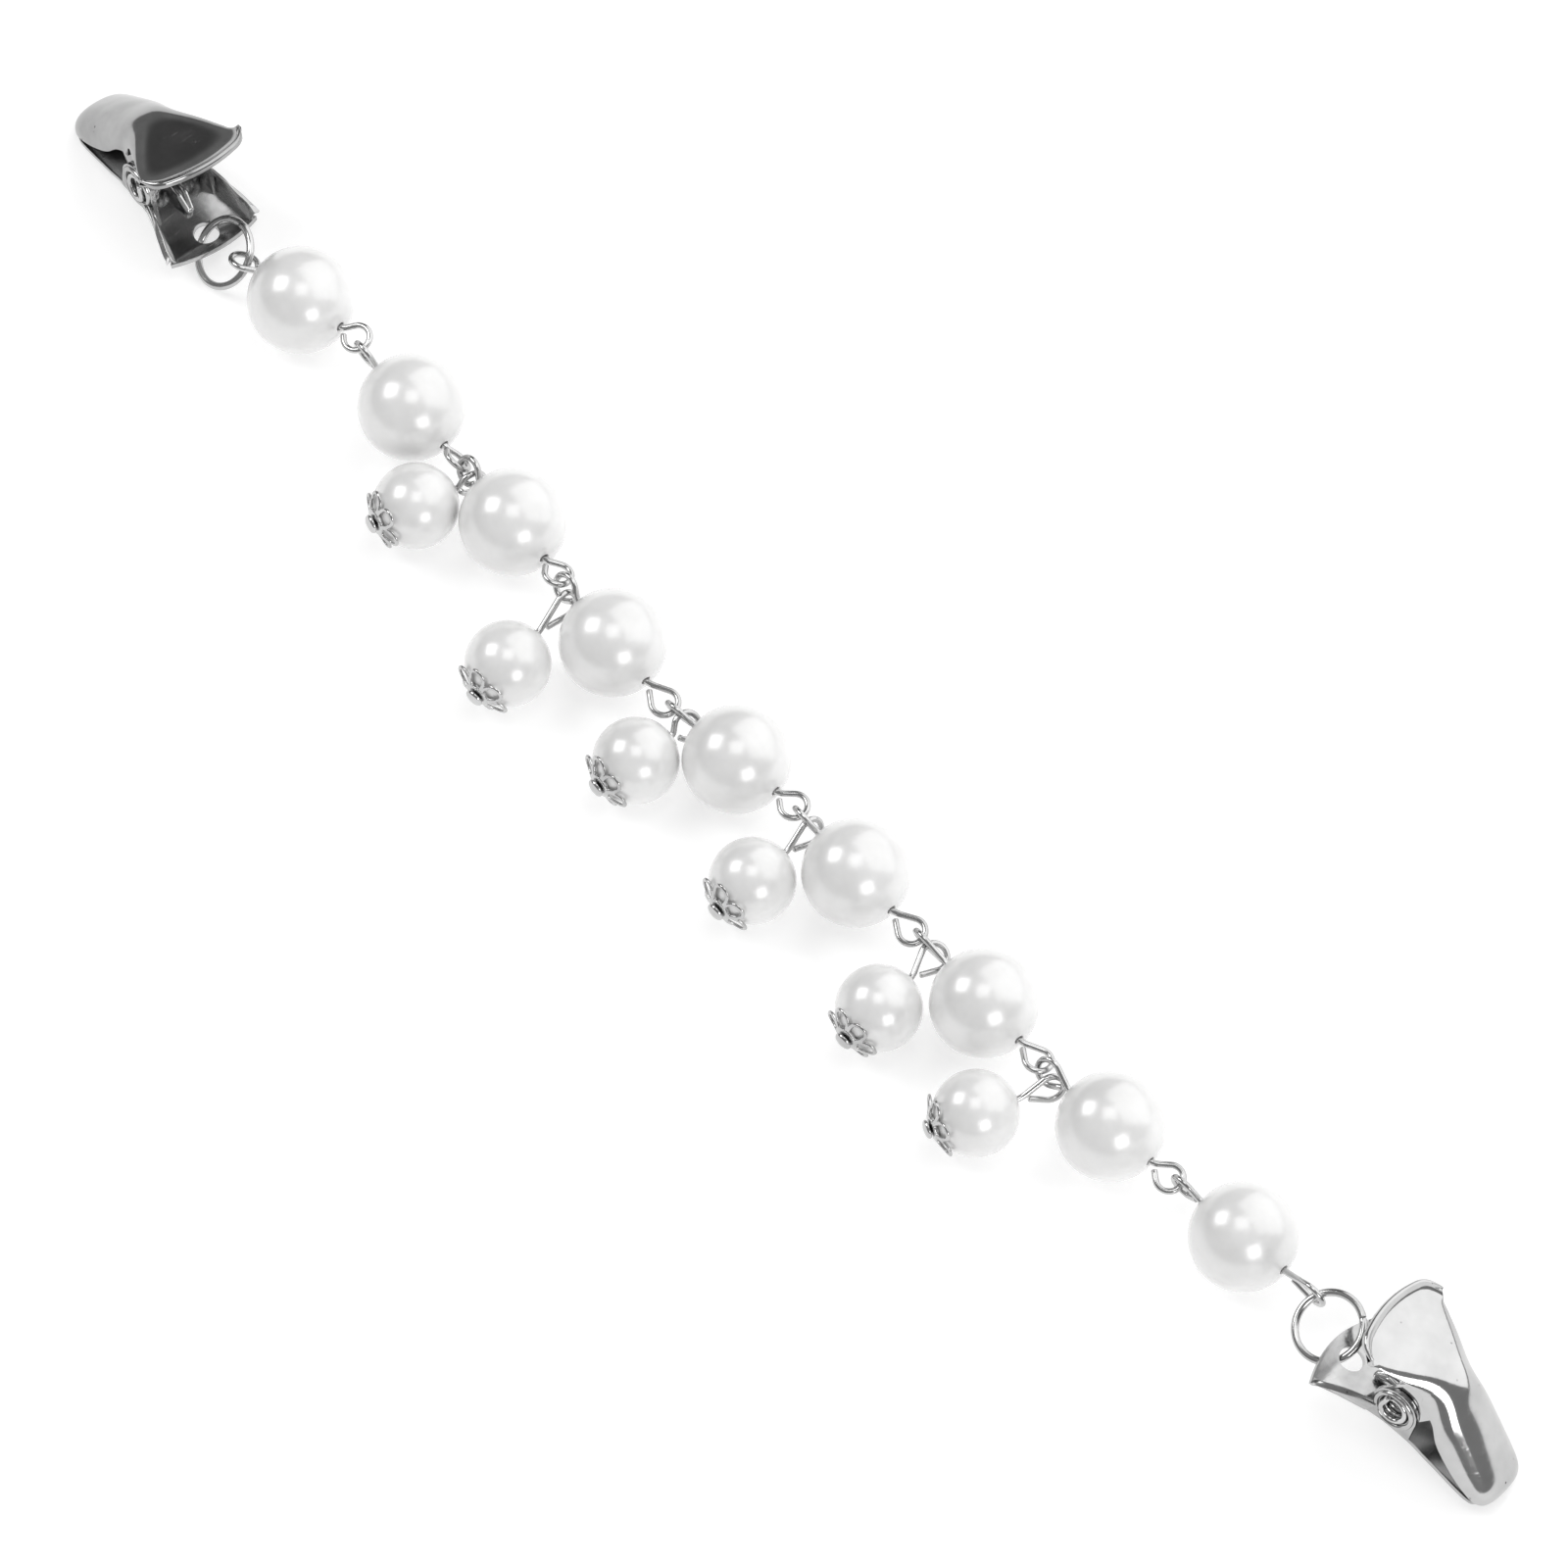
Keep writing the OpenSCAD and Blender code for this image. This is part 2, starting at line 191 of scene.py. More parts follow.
metalFinishes = {
    "nickelSheet": {"bright": grey(0.57), "dull": grey(0.49), "speck": grey(0.12),
                    "roughness": 0.085, "spread": 0.07, "waveDepth": 0.000010,
                    "scratchDepth": 0.0000012, "specks": 0.045},
    "nickelWire": {"bright": grey(0.60), "dull": grey(0.46), "speck": grey(0.30),
                   "roughness": 0.12, "spread": 0.10, "waveDepth": 0.000006,
                   "scratchDepth": 0.0000012, "specks": 0.02},
    # nickelSheetPaintedShade: the nickel sheet again but darker, for clip a's lever; its lower
    # tone is painted shade, not the metal's own colour
    "nickelSheetPaintedShade": {"bright": grey(0.40), "dull": grey(0.31), "speck": grey(0.10),
                    "roughness": 0.10, "spread": 0.07, "waveDepth": 0.000010,
                    "scratchDepth": 0.0000012, "specks": 0.045},
    # nickelInsidePaintedShade: the base plate's nickel, rougher than the sheet and darker in tone;
    # the roughness is its own finish, the darker tone is painted shade for the base under the
    # lever
    "nickelInsidePaintedShade": {"bright": grey(0.54), "dull": grey(0.36), "speck": grey(0.10),
                     "roughness": 0.15, "spread": 0.17, "waveDepth": 0.000026,
                     "scratchDepth": 0.0000020, "specks": 0.045},
    "springSteel": {"bright": grey(0.62), "dull": grey(0.46), "speck": grey(0.20),
                    "roughness": 0.14, "spread": 0.10, "waveDepth": 0.000004,
                    "scratchDepth": 0.0000015, "specks": 0.03},
    "castNickel": {"bright": grey(0.60), "dull": grey(0.44), "speck": grey(0.25),
                   "roughness": 0.16, "spread": 0.12, "waveDepth": 0.000012,
                   "scratchDepth": 0.0000010, "specks": 0.03},
}


def makePearlMaterial(finish):
    made, g = newMaterial("pearlLustre")
    spot = g.node("ShaderNodeTexCoord", output=3)
    cloud = g.node("ShaderNodeTexNoise", {}, {"Vector": spot, "Scale": finish["cloudScale"],
                                              "Detail": 3.0, "Roughness": 0.55})
    skin = g.node("ShaderNodeTexNoise", {}, {"Vector": spot, "Scale": finish["skinScale"],
                                             "Detail": 2.0, "Roughness": 0.5})
    cell = g.node("ShaderNodeTexVoronoi", {}, {"Vector": spot, "Scale": finish["dimpleScale"],
                                               "Randomness": 1.0})
    dimple = g.ramp(cell, [(0.0, 1.0), (0.10, 0.0)]) * g.ramp(cloud, [(0.52, 0.0), (0.60, 1.0)])
    tone = g.ramp(cloud, [(0.35, 0.0), (0.65, 1.0)])
    colour = g.mixed(tone, finish["shell"], finish["cloud"])
    low = g.node("ShaderNodeBump", {}, {"Strength": 1.0, "Distance": finish["skinDepth"],
                                        "Height": skin})
    full = g.node("ShaderNodeBump", {"invert": True},
                  {"Strength": 1.0, "Distance": finish["dimpleDepth"], "Height": dimple,
                   "Normal": low})
    shader = g.node("ShaderNodeBsdfPrincipled", {}, {
        "Base Color": colour, "Roughness": finish["roughness"] + 0.08 * skin,
        "Coat Weight": 1.0 - 0.12 * tone, "Coat Roughness": finish["coatRoughness"],
        "Coat IOR": finish["coatIor"], "IOR": 1.62, "Normal": full})
    g.finish(shader)
    return made


def makeMetalMaterial(name, finish):
    made, g = newMaterial(name)
    spot = g.node("ShaderNodeTexCoord", output=3)
    drift = g.node("ShaderNodeTexNoise", {}, {"Vector": spot, "Scale": metalPattern["driftScale"],
                                              "Detail": 3.0, "Roughness": 0.6})
    grain = g.node("ShaderNodeMapping", {"vector_type": "POINT"},
                   {"Vector": spot, "Rotation": metalPattern["grainTurn"],
                    "Scale": metalPattern["grainScale"]})
    scratch = g.ramp(g.node("ShaderNodeTexNoise", {}, {"Vector": grain, "Scale": 1.0,
                                                       "Detail": 2.0, "Roughness": 0.7}),
                     [(0.60, 0.0), (0.70, 1.0)])
    cell = g.node("ShaderNodeTexVoronoi", {}, {"Vector": spot, "Scale": metalPattern["speckScale"],
                                               "Randomness": 1.0})
    speck = g.ramp(cell, [(0.0, 1.0), (finish["specks"], 1.0), (finish["specks"] * 1.8, 0.0)])
    speck = speck * g.ramp(drift, [(0.50, 0.0), (0.56, 1.0)])
    tone = g.mixed(g.ramp(drift, [(0.35, 0.0), (0.70, 1.0)]), finish["bright"], finish["dull"])
    colour = g.mixed(speck, tone, finish["speck"])
    wave = g.node("ShaderNodeBump", {}, {"Strength": 1.0, "Distance": finish["waveDepth"],
                                         "Height": drift})
    full = g.node("ShaderNodeBump", {}, {"Strength": 1.0, "Distance": finish["scratchDepth"],
                                         "Height": scratch, "Normal": wave})
    rough = (finish["roughness"] + finish["spread"] * (0.6 * drift + 0.4 * scratch)
             + metalPattern["speckRoughness"] * speck)
    shader = g.node("ShaderNodeBsdfPrincipled", {}, {
        "Base Color": colour, "Metallic": 1.0, "Roughness": rough, "Normal": full})
    g.finish(shader)
    return made


materials = {name: makeMetalMaterial(name, finish) for name, finish in metalFinishes.items()}
materials["pearlLustre"] = makePearlMaterial(pearlFinish)
print("stage: materials made")


# Mesh tools

def unit(v):
    return v.normalized()


def squareTo(v, along):
    return unit(v - v.dot(along) * along)


def pathDirections(path, closed=False):
    count = len(path)
    out = []
    for i, p in enumerate(path):
        if closed:
            before, after = path[i - 1], path[(i + 1) % count]
        else:
            before, after = path[max(i - 1, 0)], path[min(i + 1, count - 1)]
        out.append(unit(unit(after - p) + unit(p - before)) if (after - p).length > 1e-9
                   and (p - before).length > 1e-9 else unit(after - before))
    return out


def sweep(path, radii, sides, upwards=None, flat=1.0, closed=False):
    # A wire along the path. upwards gives a direction for the section at each point,
    # and flat is the section's height as a share of its width
    dirs = pathDirections(path, closed)
    if upwards is None:
        ups, up = [], squareTo(Vector((0.12, 0.31, 1.0)), dirs[0])  # any way off the path
        for d in dirs:
            up = squareTo(up, d)
            ups.append(up)
    else:
        ups = [squareTo(u, d) for u, d in zip(upwards, dirs)]
    verts = []
    for p, d, up, r in zip(path, dirs, ups, radii):
        across = d.cross(up)
        for k in range(sides):
            a = 2 * math.pi * k / sides
            verts.append(p + r * (math.cos(a) * across + flat * math.sin(a) * up))
    rows = len(path)
    faces = []
    for i in range(rows if closed else rows - 1):
        for k in range(sides):
            m = (k + 1) % sides
            n = (i + 1) % rows
            faces.append((i * sides + k, n * sides + k, n * sides + m, i * sides + m))
    if not closed:
        faces.append(tuple(range(sides)))
        faces.append(tuple((rows - 1) * sides + k for k in reversed(range(sides))))
    return verts, faces


def lathe(profile, sides, axis="X"):
    # Turns (along, radius) points about the axis; the profile closes on itself
    verts, faces, count = [], [], len(profile)
    for k in range(sides):
        a = 2 * math.pi * k / sides
        c, s = math.cos(a), math.sin(a)
        for along, r in profile:
            verts.append(Vector((along, r * c, r * s)) if axis == "X"
                         else Vector((r * s, along, r * c)))
    for k in range(sides):
        m = (k + 1) % sides
        for i in range(count):
            j = (i + 1) % count
            faces.append((k * count + i, k * count + j, m * count + j, m * count + i))
    return verts, faces


def roundOutline(radius, count):
    steps = [2 * math.pi * k / count for k in range(count)]
    return [(radius * math.cos(a), radius * math.sin(a)) for a in steps]


def prism(outline, start, end, axis="Y"):
    # An outline in x and z raised along y, or in x and y raised along z
    count = len(outline)
    verts = [Vector((p, level, q) if axis == "Y" else (p, q, level))
             for level in (start, end) for p, q in outline]
    faces = [tuple(range(count)), tuple(count + k for k in reversed(range(count)))]
    for k in range(count):
        m = (k + 1) % count
        faces.append((k, k + count, m + count, m))
    return verts, faces


def bent(points, reach, steps=6):
    # Rounds every inner corner of a path
    out = [points[0]]
    for before, p, after in zip(points, points[1:], points[2:]):
        near = min(reach, 0.45 * (p - before).length)
        far = min(reach, 0.45 * (after - p).length)
        start, end = p + near * unit(before - p), p + far * unit(after - p)
        for i in range(steps + 1):
            t = i / steps
            out.append((1 - t) ** 2 * start + 2 * t * (1 - t) * p + t * t * end)
    out.append(points[-1])
    return out


def outward(made):
    # Merges doubled points and turns every face outwards
    grid = bmesh.new()
    grid.from_mesh(made.data)
    bmesh.ops.remove_doubles(grid, verts=grid.verts, dist=1e-6)
    bmesh.ops.recalc_face_normals(grid, faces=grid.faces)
    grid.to_mesh(made.data)
    grid.free()


def toObject(name, shape):
    verts, faces = shape
    mesh = bpy.data.meshes.new(name)
    mesh.from_pydata([tuple(v) for v in verts], [], faces)
    mesh.validate()
    made = bpy.data.objects.new(name, mesh)
    bpy.context.collection.objects.link(made)
    outward(made)
    return made


def applied(made):
    # Bakes the modifiers into the mesh
    bpy.context.view_layer.update()
    ready = made.evaluated_get(bpy.context.evaluated_depsgraph_get())
    mesh = bpy.data.meshes.new_from_object(ready)
    made.modifiers.clear()
    made.data = mesh
    return made


def joined(made, others, operation="UNION"):
    for other in others:
        cut = made.modifiers.new("join", "BOOLEAN")
        cut.operation, cut.solver, cut.object = operation, "EXACT", other
        applied(made)
        bpy.data.objects.remove(other)
    return made


def gathered(made, others):
    # Puts the others' shells into the same mesh
    verts, faces = [], []
    for part in [made] + others:
        offset = len(verts)
        verts += [v.co.copy() for v in part.data.vertices]
        faces += [tuple(v + offset for v in f.vertices) for f in part.data.polygons]
    mesh = bpy.data.meshes.new(made.name)
    mesh.from_pydata([tuple(v) for v in verts], [], faces)
    made.data = mesh
    for part in others:
        bpy.data.objects.remove(part)
    return made


def softened(made, width, segments, angle):
    edge = made.modifiers.new("edge", "BEVEL")
    edge.limit_method, edge.angle_limit = "ANGLE", math.radians(angle)
    edge.width, edge.segments = width, segments
    edge.use_clamp_overlap = True
    return applied(made)


def finishPiece(made, place, body, finish, nodes=(), sharp=40):
    made.data.transform(Matrix.Scale(0.001, 4) @ place)
    made.data.materials.clear()
    made.data.materials.append(materials[finish])
    for face in made.data.polygons:
        face.use_smooth = True
    if sharp:
        made.data.set_sharp_from_angle(angle=math.radians(sharp))
    if body:
        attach(made, body)
    if nodes:
        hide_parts(*nodes)
    return made


# Pearls and their pins

pearlPlan = {
    "radius": 5.0, "dropRadius": 4.0, "holeRadius": 0.45, "lip": 0.10,
    "sides": 96, "rows": 72,
    # x, y, heading, rise, near reach, near roll, far reach, far roll
    "places": [
        (-66.05, -1.70, 8, 6, 8.30, 150, 8.25, 15),
        (-50.50, -1.50, -3, -3, 8.25, 100, 8.20, -50),
        (-35.05, -2.45, -5, 2.5, 8.20, 60, 8.40, -15),
        (-19.30, -3.90, -3.5, -2, 8.40, 62, 9.05, 8),
        (-2.60, -3.45, 5, 2, 8.65, 108, 8.50, 5),
        (13.45, -3.05, -1, -1.5, 8.50, 108, 9.05, 10),
        (31.20, -3.25, -2, 1.5, 9.65, 104, 8.95, -12),
        (48.15, -3.05, 4.5, -2, 8.95, 62, 8.60, 12),
        (64.35, -1.55, 4.5, 2, 8.60, 98, 9.75, 96),
    ],
}

wirePlan = {"radius": 0.3, "loopRadius": 1.25, "neckOut": 0.3, "neckGap": 0.68, "sides": 14,
            "arcSteps": 44, "neckBend": 0.55}


def pearlShape(radius, plan):
    hole, lip = plan["holeRadius"], plan["lip"]
    start = math.asin((hole + lip) / radius)
    profile = []
    for i in range(plan["rows"] + 1):
        a = start + (math.pi - 2 * start) * i / plan["rows"]
        profile.append((radius * math.cos(a), radius * math.sin(a)))
    edge = radius * math.cos(start)
    for i in range(1, 5):  # rounded lip into the bore
        a = math.pi / 2 * i / 5
        profile.append((-edge + lip * 0.8 * (1 - math.cos(a)), hole + lip * (1 - math.sin(a))))
    for i in range(7):
        profile.append(((-edge + lip * 0.8) + (2 * edge - 1.6 * lip) * i / 6, hole))
    for i in range(4, 0, -1):
        a = math.pi / 2 * i / 5
        profile.append((edge - lip * 0.8 * (1 - math.cos(a)), hole + lip * (1 - math.sin(a))))
    return lathe(profile, plan["sides"])


def loopPath(reach, roll, neck, plan):
    # From the neck round the eye and back to the neck, along +X
    r = plan["loopRadius"]
    centre = reach - r
    half = math.asin(r / (centre - neck))
    stop = plan["neckGap"] / math.sin(min(2 * half, math.pi / 2))
    back = math.sqrt((centre - neck) ** 2 - r * r)
    side = Vector((0, math.cos(math.radians(roll)), math.sin(math.radians(roll))))
    out = []
    for i in range(plan["arcSteps"] + 1):
        a = math.pi / 2 + half - i * (math.pi + 2 * half) / plan["arcSteps"]
        out.append(Vector((centre + r * math.cos(a), 0, 0)) + r * math.sin(a) * side)
    tail = Vector((math.cos(half), 0, 0)) - math.sin(half) * side
    for share in (0.66, 0.33, 0.0):
        out.append(Vector((neck, 0, 0)) + (stop + share * (back - stop)) * tail)
    return out


def flipped(path):
    return [Vector((-p.x, p.y, p.z)) for p in reversed(path)]


def roundedEnd(path, radii, atStart):
    # Turns the cut end of a wire over by a small radius
    end, inner = (path[0], path[1]) if atStart else (path[-1], path[-2])
    along, r = unit(end - inner), radii[0] if atStart else radii[-1]
    points = [end + along * r * 0.35 * math.sin(a) for a in (0.5, 1.0, 1.5)]
    sizes = [r * (0.62 + 0.38 * math.cos(a)) for a in (0.5, 1.0, 1.5)]
    if atStart:
        return points[::-1] + path, sizes[::-1] + radii
    return path + points, radii + sizes


def pinShape(place, plan):
    neck = pearlPlan["radius"] + plan["neckOut"]
    near = flipped(loopPath(place[4], place[5], neck, plan))
    far = loopPath(place[6], place[7], neck, plan)
    bends = [near[-1], Vector((-neck, 0, 0)), Vector((neck, 0, 0)), far[0]]
    path = near[:-1] + bent(bends, plan["neckBend"]) + far[1:]
    radii = [plan["radius"]] * len(path)
    path, radii = roundedEnd(path, radii, True)
    path, radii = roundedEnd(path, radii, False)
    return sweep(path, radii, plan["sides"])


for i, place in enumerate(pearlPlan["places"], 1):
    stand = setDown((place[0], place[1], pearlPlan["radius"]), place[2], -place[3])
    bead = toObject(f"pearlBead{i}", pearlShape(pearlPlan["radius"], pearlPlan))
    finishPiece(bead, stand, "strand", "pearlLustre", [f"pearl_{i}"])
    pin = toObject(f"eyePinWire{i}", pinShape(place, wirePlan))
    finishPiece(pin, stand, "strand", "nickelWire", [f"eye_pin_{i}"], 60)
print("stage: large pearls and eye pins made")


# Drops

dropPlan = {
    "headRadius": 0.9, "headHeight": 0.5, "seat": 4.51, "domeRows": 8, "domeShare": 0.62,
    # x, y, loop tip x, y, z, loop roll, cap turn
    "places": [
        (-42.65, -7.65, -41.10, -0.85, 3.45, 84, 0),
        (-24.35, -12.20, -25.60, -3.10, 4.50, 70, 20),
        (-8.95, -10.05, -8.60, -2.95, 4.05, 46, 10),
        (7.50, -10.30, 7.10, -1.80, 4.20, 67, 25),
        (24.95, -10.35, 24.25, -1.95, 4.30, 30, 0),
        (38.80, -10.90, 41.80, -3.00, 4.15, 66, 15),
    ],
}

capPlan = {
    "petals": 6, "middleRadius": 4.26, "nearAngle": 9.0, "farAngle": 39.5, "halfWidth": 0.95,
    "wireRadius": 0.205, "wireFlat": 0.75, "flare": 0.24, "hubAngle": 17.0, "hubHole": 0.42,
    "hubInner": 4.08, "hubOuter": 4.46, "voxel": 0.055,
}


def dropPinShape(reach, roll, plan, wirePlan):
    neck = pearlPlan["dropRadius"] + wirePlan["neckOut"]
    seat, top, wide = plan["seat"], plan["headHeight"], plan["headRadius"]
    path, radii = [], []
    for i in range(plan["domeRows"]):
        a = math.pi / 2 * (i + 0.35) / (plan["domeRows"] - 0.65)
        path.append(Vector((-seat - top + top * plan["domeShare"] * (1 - math.cos(a)), 0, 0)))
        radii.append(wide * math.sin(a) * 0.98)
    for along, r in ((-seat - top * 0.30, wide), (-seat - 0.08, wide), (-seat - 0.02, wide * 0.93),
                     (-seat, wide * 0.86), (-seat + 0.004, wirePlan["radius"] + 0.05),
                     (-seat + 0.06, wirePlan["radius"])):
        path.append(Vector((along, 0, 0)))
        radii.append(r)
    loop = loopPath(reach, roll, neck, wirePlan)
    lead = bent([Vector((-seat + 0.3, 0, 0)), Vector((neck, 0, 0)), loop[0]], wirePlan["neckBend"])
    path += lead + loop[1:]
    radii += [wirePlan["radius"]] * (len(path) - len(radii))
    path, radii = roundedEnd(path, radii, False)
    return sweep(path, radii, 24)


def capShape(plan):
    # Open petals of wire on a small hub, all lying on a ball; the cap faces -X
    def onBall(polar, turn, radius):
        return Vector((-radius * math.cos(polar), radius * math.sin(polar) * math.cos(turn),
                       radius * math.sin(polar) * math.sin(turn)))

    parts = []
    low, high = math.radians(plan["nearAngle"]), math.radians(plan["farAngle"])
    for k in range(plan["petals"]):
        turn = 2 * math.pi * k / plan["petals"]
        path, ups = [], []
        for i in range(40):
            a = 2 * math.pi * i / 40
            t = (1 - math.cos(a)) / 2  # 0 at the hub, 1 at the tip
            polar = low + (high - low) * t
            width = plan["halfWidth"] * math.sin(a) * (0.55 + 0.65 * t) * 0.92
            swing = width / (plan["middleRadius"] * math.sin(max(polar, 0.12)))
            radius = plan["middleRadius"] + plan["flare"] * max(t - 0.6, 0) ** 2 / 0.16
            p = onBall(polar, turn + swing, radius)
            path.append(p)
            ups.append(unit(p))
        size = [plan["wireRadius"]] * len(path)
        parts.append(toObject("petal", sweep(path, size, 10, ups, plan["wireFlat"], True)))
    profile, wide = [], math.radians(plan["hubAngle"])
    start = plan["hubHole"] / plan["hubInner"]
    for i in range(9):
        a = start + (wide - start) * i / 8
        profile.append((-plan["hubOuter"] * math.cos(a), plan["hubOuter"] * math.sin(a)))
    for i in range(9):
        a = wide + 0.01 - (wide - start) * i / 8
        profile.append((-plan["hubInner"] * math.cos(a), plan["hubInner"] * math.sin(a)))
    hub = toObject("hub", lathe(profile, 48))
    gathered(hub, parts)  # one mesh before the skin is drawn over it
    skin = hub.modifiers.new("skin", "REMESH")
    skin.mode, skin.voxel_size = "VOXEL", plan["voxel"]
    ease = hub.modifiers.new("ease", "SMOOTH")
    ease.factor, ease.iterations = 0.5, 3
    return applied(hub)


capMaster = capShape(capPlan)
for i, place in enumerate(dropPlan["places"], 1):
    centre = Vector((place[0], place[1], pearlPlan["dropRadius"]))
    lead = Vector(place[2:5]) - centre
    heading = math.degrees(math.atan2(lead.y, lead.x))
    stand = setDown(centre, heading, -math.degrees(math.asin(lead.z / lead.length)))
    bead = toObject(f"dropBead{i}", pearlShape(pearlPlan["dropRadius"], pearlPlan))
    finishPiece(bead, stand, "strand", "pearlLustre", [f"drop_pearl_{i}"])
    pin = toObject(f"dropPinWire{i}", dropPinShape(lead.length, place[5], dropPlan, wirePlan))
    finishPiece(pin, stand, "strand", "nickelWire", [f"drop_pin_{i}"], 50)
    cap = bpy.data.objects.new(f"petalCap{i}", capMaster.data.copy())
    bpy.context.collection.objects.link(cap)
    finishPiece(cap, stand @ turned("X", place[6]), "strand", "castNickel",
                [f"bead_cap_{i}"], 0)
bpy.data.objects.remove(capMaster)
print("stage: drops made")


# Jump rings

ringPlan = {
    "radius": 3.175, "wire": 0.375, "slit": 0.14, "sides": 20, "steps": 120,
    # centre, direction of the face, where the slit is
    "places": [((-75.67, -2.91, 2.84), (-0.22, -0.64, 0.74), 200),
               ((76.16, -1.88, 4.97), (-0.02, -0.39, 0.92), 150)],
}


def ringShape(plan, slitAt):
    opening = plan["slit"] / plan["radius"]
    path = []
    for i in range(plan["steps"] + 1):
        a = math.radians(slitAt) + opening / 2 + (2 * math.pi - opening) * i / plan["steps"]
        path.append(plan["radius"] * Vector((math.cos(a), math.sin(a), 0)))
    radii = [plan["wire"]] * len(path)
    radii[0] = radii[-1] = plan["wire"] * 0.92
    return sweep(path, radii, plan["sides"], [Vector((0, 0, 1))] * len(path))


for name, (centre, face, slitAt) in zip("ab", ringPlan["places"]):
    n = unit(Vector(face))
    stand = setDown(centre, math.degrees(math.atan2(n.y, n.x)), math.degrees(math.acos(n.z)))
    ring = toObject(f"jumpRing{name.upper()}", ringShape(ringPlan, slitAt))
    finishPiece(ring, stand, "strand", "nickelWire", [f"jump_ring_{name}"], 50)
print("stage: jump rings made")


# Clips: hinge along y through the origin, nose along +x

clipPlan = {
    "places": [((-85.05, -1.85, 4.93), (3.4, 19.1, 176.3)),
               ((86.35, -0.75, 6.62), (-13.4, 27.0, 5.4))],
    "boreRadius": 1.6,
    # clip a's lever takes the darker copy of the nickel sheet, which is painted shade on that
    # lever
    "covers": {"a": "nickelSheetPaintedShade", "b": "nickelSheet"},
}

basePlan = {
    "sheet": 0.42, "holeRadius": 1.2, "holeAt": -5.1, "earRadius": 2.4, "earY": (2.95, 3.4),
    "earFoot": [(3.1, -1.55), (2.3, 0.65), (-2.25, 0.8), (-2.3, -3.75), (-0.9, -2.95),
                (0.45, -2.3)],
    # underside from nose to tail: x, z
    "line": [(11.9, -1.00), (8.5, -1.10), (5.8, -1.30), (2.8, -1.85), (0.4, -2.57),
             (-0.95, -3.22), (-2.8, -4.30), (-4.6, -5.05), (-6.0, -5.35), (-7.8, -5.20)],
    # x, half width, bow of the row
    "rows": [(11.9, 1.4, 0), (11.5, 2.4, 0), (10.9, 3.0, 0), (10.0, 3.25, 0), (8.1, 3.38, 0),
             (5.2, 3.42, 0), (3.3, 3.3, 0), (-1.2, 3.3, 0), (-3.0, 3.5, 0.3), (-4.2, 3.85, 0.7),
             (-5.4, 4.3, 1.05), (-6.25, 4.85, 1.2)],
    # x, then y and z of the wing's foot, ridge and outer edge
    "wing": [(-1.4, 3.10, -3.30, 3.50, -0.90, 3.80, -1.75),
             (-3.0, 3.30, -4.15, 3.85, -1.60, 4.25, -2.30),
             (-4.5, 3.60, -4.75, 4.20, -2.65, 4.75, -3.15),
             (-5.8, 3.95, -5.10, 4.60, -3.75, 5.15, -4.15),
             (-6.35, 4.05, -5.12, 4.60, -4.45, 5.25, -4.45)],
    "collarRadius": 1.92, "collarWire": 0.27,
}

leverPlan = {
    "sheet": 0.42, "earRadius": 2.0, "earY": (2.35, 2.8),
    "earFoot": [(-1.97, 0.3), (-0.6, 4.6), (0.6, 4.75), (2.9, 3.75), (1.98, -0.2)],
    # x, half width of the arch, lower edge, shoulder, crown, depth of the arch, bow of the row
    "rows": [
        (12.30, 1.00, -0.45, -0.04, 0.04, 0.41, 0), (12.10, 2.00, -0.42, 0.57, 0.16, 0.99, 0),
        (11.60, 2.80, -0.40, 1.05, 0.30, 1.45, 0), (10.90, 3.22, -0.35, 1.38, 0.42, 1.73, 0),
        (10.00, 3.38, -0.20, 1.75, 0.50, 1.95, 0), (8.60, 3.45, 0.10, 2.39, 0.56, 2.29, 0),
        (6.50, 3.50, 0.75, 3.35, 0.60, 2.60, 0), (4.50, 3.50, 1.60, 4.25, 0.60, 2.65, 0),
        (3.40, 3.40, 2.40, 4.75, 0.60, 2.60, 0), (3.00, 3.06, 2.65, 5.00, 0.60, 2.60, 0),
        (1.90, 3.02, 2.95, 5.42, 0.58, 2.50, 0), (0.90, 3.04, 3.05, 5.63, 0.52, 2.50, 0),
        (0.50, 3.20, 4.35, 5.72, 0.48, 2.40, 0), (-0.50, 3.79, 4.65, 5.75, 0.40, 2.20, 0),
        (-2.00, 4.36, 4.80, 5.65, 0.30, 1.70, 0), (-3.50, 5.05, 4.70, 5.25, 0.15, 1.20, 0.3),
        (-5.00, 5.68, 4.75, 5.05, 0.00, 0.75, 0.8), (-5.90, 5.92, 5.00, 5.20, -0.05, 0.50, 1.3),
        (-6.35, 5.95, 5.40, 5.60, -0.10, 0.45, 1.5),
    ],
    "columns": 64, "step": 0.22, "squareness": 2.8,
    "evened": 2.2, "edgeEvened": 0.25,  # reach over which the rows are evened out
    "corner": 1.2, "cornerFrom": 0.66, "cornerStart": -4.2, "cornerRun": 2.1,
    "hemRadius": 0.32, "hemDrop": 0.30, "hemFade": 8,
}


def steepness(rows, column, k):
    # Slope of a column at row k, level wherever the column turns back
    def rise(j):
        return (rows[j + 1][column] - rows[j][column]) / (rows[j][0] - rows[j + 1][0])
    if k <= 0 or k >= len(rows) - 1:
        return rise(0 if k <= 0 else len(rows) - 2)
    a, b = rise(k - 1), rise(k)
    return 2 * a * b / (a + b) if a * b > 0 else 0.0


